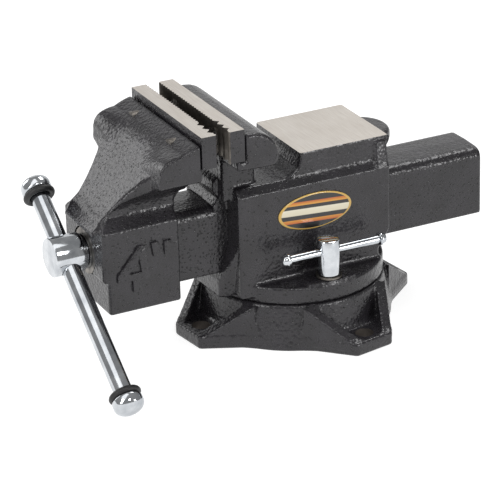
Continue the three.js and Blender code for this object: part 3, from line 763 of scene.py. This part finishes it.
def jawPlates():
    finished(jawPlate("rear_jaw_plate", fixedPlateLow, fixedPlateHigh, -1, (-30.9, -37.6, -44.3)),
             "upper", "ground_steel", "fixed_jaw_plate")
    finished(jawPlate("front_jaw_plate", movingPlateLow, movingPlateHigh, 1, (-29.6, -36.6, -43.6)),
             "slider", "ground_steel", "moving_jaw_plate")


jawPlates()


# screw: plain head with a cross bore, shank, trapezoid thread
def mainScrew():
    screw = {"headTip": screwLow.x, "headBack": screwLow.x + 20.3,
             "headRadius": screwHigh.y, "neck": screwHigh.y - 1.2,
             "thread": -96.0, "end": screwHigh.x, "pitch": 4.0, "depth": 1.3, "bore": 6.3}
    start = screw["thread"]
    head = turned("screw_head", [
        (screw["headRadius"] - 1.1, screw["headTip"]), (screw["headRadius"] - 0.4, screw["headTip"] + 0.25),
        (screw["headRadius"], screw["headTip"] + 1), (screw["headRadius"], screw["headBack"] - 0.6),
        (screw["headRadius"] - 0.6, screw["headBack"]), (screw["neck"], screw["headBack"]),
        (screw["neck"], collarLow.x - 0.3), (screwRadius - 0.2, collarLow.x - 0.3),
        (screwRadius - 0.2, start + 0.5),
    ], (0, 0, screwHeight), (1, 0, 0), chrome, 96)
    bore = turned("cross_bore", [(screw["bore"], -25), (screw["bore"], 25)],
                  handleCentre, handleAxis, oiled, 64)
    machined(head, bore)
    smoothed(head, 32)
    finished(head, "screw", "chrome_steel", "main_screw")

    sides = 48
    turns = int((screw["end"] - start) / screw["pitch"] * 8)
    points = []
    for ring in range(turns + 1):
        along = start + (screw["end"] - start) * ring / turns
        fade = min(1, (screw["end"] - along) / 1.5, (along - start) / 1.5)
        for i in range(sides):
            phase = (along / screw["pitch"] + i / sides) % 1
            cut = min(max((abs(phase - 0.5) * 2 - 0.3) / 0.4, 0), 1) * screw["depth"]
            radius = screwRadius - screw["depth"] * (1 - fade) - cut * fade
            angle = 2 * math.pi * i / sides
            points.append((along, radius * math.cos(angle), screwHeight + radius * math.sin(angle)))
    faces = [(r * sides + i, r * sides + (i + 1) % sides,
              (r + 1) * sides + (i + 1) % sides, (r + 1) * sides + i)
             for r in range(turns) for i in range(sides)]
    faces += [tuple(range(sides)), tuple(range(turns * sides, (turns + 1) * sides))]
    thread = meshObject("screw_thread", points, faces, oiled)
    smoothed(thread, 40)
    finished(thread, "screw", "plain_steel")


def handle():
    rod = {"radius": 6, "upper": 52.5, "lower": -110.5, "ringPath": 8.3, "ring": 2.1, "ringGap": 7.1}
    shaft = turned("handle_rod", [(rod["radius"], rod["lower"] - 3), (rod["radius"], rod["upper"] + 3)],
                   handleCentre, handleAxis, chrome, 64)
    finished(smoothed(shaft), "handle", "chrome_steel", "handle_bar")
    for end, middle, way in (("upper", rod["upper"], 1), ("lower", rod["lower"], -1)):
        profile = [(6.2, -5), (8.5, -5), (9.3, -4.6), (9.7, -3.8), (9.8, -2.8), (9.8, -0.4),
                   (9.5, 0.9), (8.9, 2.1), (7.9, 3.2), (6.6, 4.1), (5.0, 4.7), (3.2, 4.95), (1.4, 5.0)]
        knob = turned(f"{end}_knob", [(radius, middle + way * along) for radius, along in profile],
                      handleCentre, handleAxis, chrome, 72)
        finished(smoothed(knob, 50), "handle", "chrome_steel", f"handle_{end}_knob")
        spot = middle - way * rod["ringGap"]
        tube = [(rod["ringPath"] + rod["ring"] * math.cos(t * math.pi / 10),
                 spot + rod["ring"] * math.sin(t * math.pi / 10)) for t in range(20)]
        ring = turned(f"{end}_ring", tube, handleCentre, handleAxis, rubber, 64, closed=True)
        finished(smoothed(ring, 60), "handle", "black_rubber", f"handle_{end}_ring")


def swivelLock(side, y):
    lock = {"radius": 7.1, "shank": 5, "seat": 45.7, "bar": 2.7, "height": 61, "front": -31, "rear": 39}
    stud = turned(f"{side}_stud", [
        (lock["shank"], studLow.z), (lock["shank"], lock["seat"]), (lock["radius"] - 0.3, lock["seat"]),
        (lock["radius"], lock["seat"] + 0.3), (lock["radius"], studHigh.z - 0.9),
        (lock["radius"] - 0.25, studHigh.z - 0.3),
        (lock["radius"] - 0.9, studHigh.z),
    ], (0, y, 0), (0, 0, 1), chrome, 64)
    bore = turned("cap_bore", [(lock["bar"] + 0.2, -12), (lock["bar"] + 0.2, 12)],
                  (0, y, lock["height"]), (1, 0, 0), oiled, 32)
    machined(stud, bore)
    finished(smoothed(stud, 32), f"{side}_lock", "chrome_steel", f"{side}_lock_stud")
    washer = turned(f"{side}_washer",
                    [(5.2, 43.8), (8.1, 43.8), (8.4, 44.1), (8.4, 45.1), (8.1, 45.4), (5.2, 45.4)],
                    (0, y, 0), (0, 0, 1), oiled, 64, closed=True)
    finished(smoothed(washer), "upper", "plain_steel", f"{side}_lock_washer")
    rod = turned(f"{side}_cross_rod", [(lock["bar"], lock["front"]), (lock["bar"], lock["rear"])],
                 (0, y, lock["height"]), (1, 0, 0), chrome, 40)
    finished(smoothed(rod), f"{side}_cross_bar", "chrome_steel", f"{side}_lock_bar")
    for end, middle, way in (("front", -30.5, -1), ("rear", 38.5, 1)):
        profile = [(2.9, -2.5), (3.9, -2.5), (4.2, -2.0), (4.2, -0.9), (3.7, -0.4),
                   (3.4, 0.4), (3.2, 1.3), (2.6, 2.1),
                   (1.6, 2.5)]
        cap = turned(f"{side}_{end}_cap", [(radius, middle + way * along) for radius, along in profile],
                     (0, y, lock["height"]), (1, 0, 0), chrome, 48)
        finished(smoothed(cap), f"{side}_cross_bar", "chrome_steel", f"{side}_lock_bar_{end}_cap")


def badgePlate():
    half = (badgeHigh - badgeLow) / 2
    middle = (badgeHigh + badgeLow) / 2
    back = badgeHigh.y
    obj = turned("badge_plate", [(half.z, 0), (half.z, 0.35), (half.z - 0.25, 0.6), (half.z - 0.8, 0.72),
                                 (half.z * 0.5, 0.78), (0.05, 0.8)], (0, 0, 0), (0, -1, 0), badgeLook, 96)
    obj.data.transform(Matrix.Translation(Vector((middle.x, back, middle.z)) * mm)
                       @ Matrix.Diagonal((half.x / half.z, 1, 1, 1)))
    finished(smoothed(obj, 50), "upper", "badge", "oval_badge")


handleTilt = math.radians(36)
handleAxis = (0, math.cos(handleTilt), math.sin(handleTilt))
handleCentre = (screwLow.x + 10.15, 0, screwHeight)
mainScrew()
handle()
swivelLock("near", -50)
swivelLock("far", 50)
badgePlate()
print("steelwork done")

# pieces drawn straight from the model
rawIronPieces = ("lead_nut", "near_clamp_nut", "far_clamp_nut")  # the others are oiled steel
for name, cadNode in nodes.items():
    look = rawIron if name in rawIronPieces else oiled
    cadNode.data.materials.clear()
    cadNode.data.materials.append(look)
    smoothed(cadNode, 32)

# floor, lights, world and camera
studio = {"floorHalf": 3000, "world": 0.35}
floorCorners = [(a * studio["floorHalf"], b * studio["floorHalf"], 0)
                for a, b in ((-1, -1), (1, -1), (1, 1), (-1, 1))]
floor = meshObject("studio_floor", floorCorners, [(0, 1, 2, 3)], studioFloor())
floor.visible_diffuse = False


def softbox(name, place, aim, size, power):
    light = bpy.data.lights.new(name, "AREA")
    light.shape = "RECTANGLE"
    light.size, light.size_y = size
    light.energy = power
    light.color = linear("#ffffff")[:3]
    obj = bpy.data.objects.new(name, light)
    bpy.context.scene.collection.objects.link(obj)
    obj.location = place
    obj.rotation_euler = (Vector(place) - Vector(aim)).to_track_quat("Z", "Y").to_euler()
    return obj


softbox("back", (0.48, 0.98, 0.52), (0, 0, 0.1), (1.3, 0.8), 1.8)
softbox("back_left", (-0.7, 0.95, 0.5), (-0.1, 0, 0.12), (0.6, 0.7), 3.4)
softbox("top", (0.45, 0.28, 1.0), (0, 0, 0.08), (0.4, 0.4), 3.5)
softbox("near_low", (0.5, -1.08, 0.34), (0, 0, 0.06), (0.25, 0.35), 3.5)
softbox("over_left", (-0.5, -0.15, 1.05), (0, 0, 0.05), (0.5, 0.9), 1.8)
softbox("left", (-1.0, -0.35, 0.5), (-0.1, 0, 0.08), (0.3, 0.7), 4)
softbox("near", (-0.25, -1.1, 0.9), (0, 0, 0.06), (0.3, 0.3), 4)

world = bpy.data.worlds.new("studio")
world.use_nodes = True
world.node_tree.nodes["Background"].inputs[0].default_value = grey(1)
world.node_tree.nodes["Background"].inputs[1].default_value = studio["world"]
bpy.context.scene.world = world

camera = {
    "aim": (-30.6, 0, 49.0), "azimuth": -26.19, "elevation": 24.0,
    "roll": -1.63, "distance": 1808.8, "lens": 202.56,
}


def placeCamera():
    a, e, r = (math.radians(camera[key]) for key in ("azimuth", "elevation", "roll"))
    back = Vector((math.sin(a) * math.cos(e), -math.cos(a) * math.cos(e), math.sin(e)))
    right = (-back).cross(Vector((0, 0, 1))).normalized()
    upward = right.cross(-back)
    tiltedRight = right * math.cos(r) + upward * math.sin(r)
    tiltedUp = upward * math.cos(r) - right * math.sin(r)
    data = bpy.data.cameras.new("camera")
    data.lens = camera["lens"]
    data.sensor_width = 36
    data.clip_end = 50
    obj = bpy.data.objects.new("camera", data)
    bpy.context.scene.collection.objects.link(obj)
    spot = (Vector(camera["aim"]) + back * camera["distance"]) * mm
    turn = Matrix((tiltedRight, tiltedUp, back)).transposed()
    obj.matrix_world = Matrix.Translation(spot) @ turn.to_4x4()
    bpy.context.scene.camera = obj


placeCamera()
bpy.context.scene.view_settings.view_transform = "Standard"
